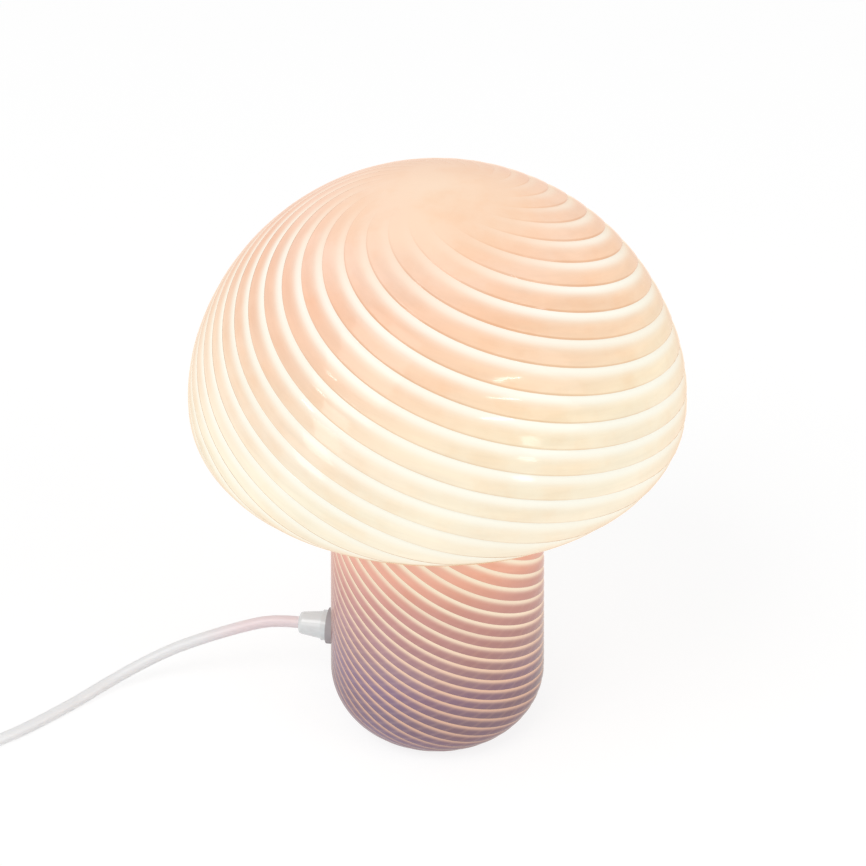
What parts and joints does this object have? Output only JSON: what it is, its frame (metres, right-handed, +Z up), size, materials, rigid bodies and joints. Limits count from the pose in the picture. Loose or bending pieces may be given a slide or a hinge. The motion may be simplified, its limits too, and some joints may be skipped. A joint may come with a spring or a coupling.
{
  "type": "table lamp",
  "caption": "Mushroom-shaped table lamp of swirl-ribbed rose glass, shade and stem blown in one piece, with a plug-in base disc and a side cord outlet.",
  "frame": {"origin": "on the lamp's axis at the table, under the middle of the foot ring", "axes": "+Z up along the lamp's axis, the cord outlet points along -X"},
  "size_m": [0.4406, 0.2, 0.2565],
  "materials": {
    "rose_glass": "swirl-ribbed, gloss, translucent rose shading to mauve",
    "clear_silicone": "satin",
    "grey_rubber": "matte",
    "white_plastic": "gloss",
    "cord_sheath": "translucent white, satin",
    "white_shell": "satin",
    "black_plastic": "satin",
    "nickel": "polished nickel",
    "zinc_steel": "zinc plated",
    "white_steel": "white powder coat",
    "brass": "plain",
    "ceramic_core": "matte",
    "opal_glass": "opal"
  },
  "bodies": {
    "lamp": {"glass_body": "rose_glass", "foot_ring": "clear_silicone", "outlet_washer": "grey_rubber", "outlet_gland": "white_plastic", "inner_washer": "grey_rubber", "outlet_nut": "white_plastic", "inner_lead": "cord_sheath", "cord_run": "cord_sheath", "switch_lower_housing": "white_shell", "switch_upper_housing": "white_shell", "switch_screws": "zinc_steel", "switch_contacts": "brass", "cord_tail": "cord_sheath", "cord_coil": "cord_sheath", "plug_lead": "cord_sheath", "plug_body": "white_shell", "plug_pins": "nickel"},
    "rocker": {"switch_rocker": "white_plastic"},
    "carrier": {"base_disc": "white_steel", "grip_collar": "clear_silicone", "holder_bracket": "zinc_steel", "bracket_screws": "zinc_steel", "threaded_nipple": "zinc_steel", "nipple_nut": "zinc_steel", "toothed_washer": "zinc_steel", "holder_cap": "white_shell", "holder_skirt": "white_shell", "holder_core": "ceramic_core", "terminal_screws": "brass", "screw_shell": "brass", "centre_contact": "brass"},
    "bulb": {"bulb_button": "zinc_steel", "cap_insulator": "black_plastic", "bulb_cap": "nickel", "bulb_globe": "opal_glass", "bulb_stem": "opal_glass", "led_filaments": "ceramic_core"}
  },
  "joints": [
    {"name": "rocker_tilt", "type": "hinge", "parent": "lamp", "child": "rocker", "pos_m": [-0.288, -0.038, 0.011], "axis": [-0.6428, -0.766, 0], "range_deg": [-16, 0]},
    {"name": "carrier_out", "type": "slide", "parent": "lamp", "child": "carrier", "axis": [0, 0, -1], "range_m": [0, 0.182], "deforming": ["inner_lead"]},
    {"name": "bulb_out", "type": "slide", "parent": "carrier", "child": "bulb", "axis": [0, 0, 1], "range_m": [0, 0.03]}
  ]
}
